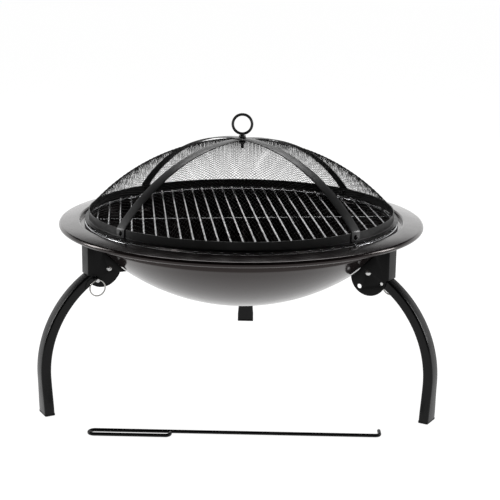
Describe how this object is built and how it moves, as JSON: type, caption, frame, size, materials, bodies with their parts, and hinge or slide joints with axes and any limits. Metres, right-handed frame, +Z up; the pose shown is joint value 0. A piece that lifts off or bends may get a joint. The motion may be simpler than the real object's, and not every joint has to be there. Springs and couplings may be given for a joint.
{
  "type": "fire pit",
  "caption": "Round enamelled fire bowl on folding locking legs, with a lift-out wire grate, a domed woven-mesh spark guard with a lifting ring, and a loose wire poker.",
  "frame": {"origin": "on the ground, in the middle of the standing set's bounding box", "axes": "+Z up; +Y towards the single back leg; -Y is the front, with two legs and the poker; +X to the right seen from the front"},
  "size_m": [0.576, 0.6024, 0.4205],
  "materials": {
    "enamel": "satin black heatproof enamel",
    "bracket_paint": "satin black",
    "leg_paint": "satin black powder coat",
    "plug_plastic": "matt black",
    "zinc_plate": "bright zinc plate",
    "spring_steel": "oiled spring steel",
    "ring_nickel": "polished nickel plate",
    "black_rivets": "gloss black",
    "grate_chrome": "bright chrome plate",
    "guard_paint": "satin black",
    "mesh_wire": "black-coated woven wire",
    "strap_paint": "satin black",
    "lift_paint": "gloss black",
    "poker_paint": "satin black"
  },
  "bodies": {
    "bowl_body": {"bowl": "enamel", "bracket_back": "bracket_paint", "bracket_front_left": "bracket_paint", "bracket_front_right": "bracket_paint", "bracket_rivets": "black_rivets", "pivot_rivet_back": "zinc_plate", "pivot_rivet_front_left": "zinc_plate", "pivot_rivet_front_right": "zinc_plate"},
    "leg_back_body": {"leg_back": "leg_paint", "foot_plug_back": "plug_plastic", "lock_spring_back": "spring_steel"},
    "lock_back_body": {"lock_pin_back": "zinc_plate", "lock_clip_back": "spring_steel"},
    "pull_ring_back_body": {"pull_ring_back": "ring_nickel"},
    "leg_front_left_body": {"leg_front_left": "leg_paint", "foot_plug_front_left": "plug_plastic", "lock_spring_front_left": "spring_steel"},
    "lock_front_left_body": {"lock_pin_front_left": "zinc_plate", "lock_clip_front_left": "spring_steel"},
    "pull_ring_front_left_body": {"pull_ring_front_left": "ring_nickel"},
    "leg_front_right_body": {"leg_front_right": "leg_paint", "foot_plug_front_right": "plug_plastic", "lock_spring_front_right": "spring_steel"},
    "lock_front_right_body": {"lock_pin_front_right": "zinc_plate", "lock_clip_front_right": "spring_steel"},
    "pull_ring_front_right_body": {"pull_ring_front_right": "ring_nickel"},
    "grate_body": {"grate_ring": "grate_chrome", "grate_wires": "grate_chrome", "grate_cross_bar": "grate_chrome"},
    "guard_body": {"guard_band": "guard_paint", "guard_mesh": "mesh_wire", "strap_lower": "strap_paint", "strap_upper": "strap_paint", "strap_rivets": "black_rivets", "lift_ring": "lift_paint", "washer_upper": "lift_paint", "nut_upper": "lift_paint", "washer_lower": "lift_paint", "nut_lower": "lift_paint"},
    "poker_body": {"poker": "poker_paint"}
  },
  "joints": [
    {"name": "leg_back_fold", "type": "hinge", "parent": "bowl_body", "child": "leg_back_body", "pos_m": [0, 0.1958, 0.20967], "axis": [-1, 0, 0], "range_deg": [0, 88]},
    {"name": "lock_back_pull", "type": "slide", "parent": "leg_back_body", "child": "lock_back_body", "axis": [-1, 0, 0], "range_m": [-0.0049, 0.002]},
    {"name": "pull_ring_back_swing", "type": "hinge", "parent": "lock_back_body", "child": "pull_ring_back_body", "pos_m": [-0.0194, 0.21702, 0.19589], "axis": [0, 1, 0], "range_deg": [0, 95]},
    {"name": "leg_front_left_fold", "type": "hinge", "parent": "bowl_body", "child": "leg_front_left_body", "pos_m": [-0.19226, -0.1372, 0.20967], "axis": [0.5, -0.866, 0], "range_deg": [0, 88]},
    {"name": "lock_front_left_pull", "type": "slide", "parent": "leg_front_left_body", "child": "lock_front_left_body", "axis": [0.5, -0.866, 0], "range_m": [-0.0049, 0.002]},
    {"name": "pull_ring_front_left_swing", "type": "hinge", "parent": "lock_front_left_body", "child": "pull_ring_front_left_body", "pos_m": [-0.20093, -0.16461, 0.19589], "axis": [-0.866, -0.5, 0], "range_deg": [0, 95]},
    {"name": "leg_front_right_fold", "type": "hinge", "parent": "bowl_body", "child": "leg_front_right_body", "pos_m": [0.19226, -0.1372, 0.20967], "axis": [0.5, 0.866, 0], "range_deg": [0, 88]},
    {"name": "lock_front_right_pull", "type": "slide", "parent": "leg_front_right_body", "child": "lock_front_right_body", "axis": [0.5, 0.866, 0], "range_m": [-0.0049, 0.002]},
    {"name": "pull_ring_front_right_swing", "type": "hinge", "parent": "lock_front_right_body", "child": "pull_ring_front_right_body", "pos_m": [0.22033, -0.13101, 0.19589], "axis": [0.866, -0.5, 0], "range_deg": [0, 95]},
    {"name": "grate_lift", "type": "slide", "parent": "bowl_body", "child": "grate_body", "axis": [0, 0, 1], "range_m": [0, 0.3]},
    {"name": "guard_lift", "type": "slide", "parent": "grate_body", "child": "guard_body", "axis": [0, 0, 1], "range_m": [0, 0.3]},
    {"name": "poker_slide", "type": "slide", "parent": "bowl_body", "child": "poker_body", "axis": [0, -1, 0], "range_m": [0, 0.3]}
  ]
}
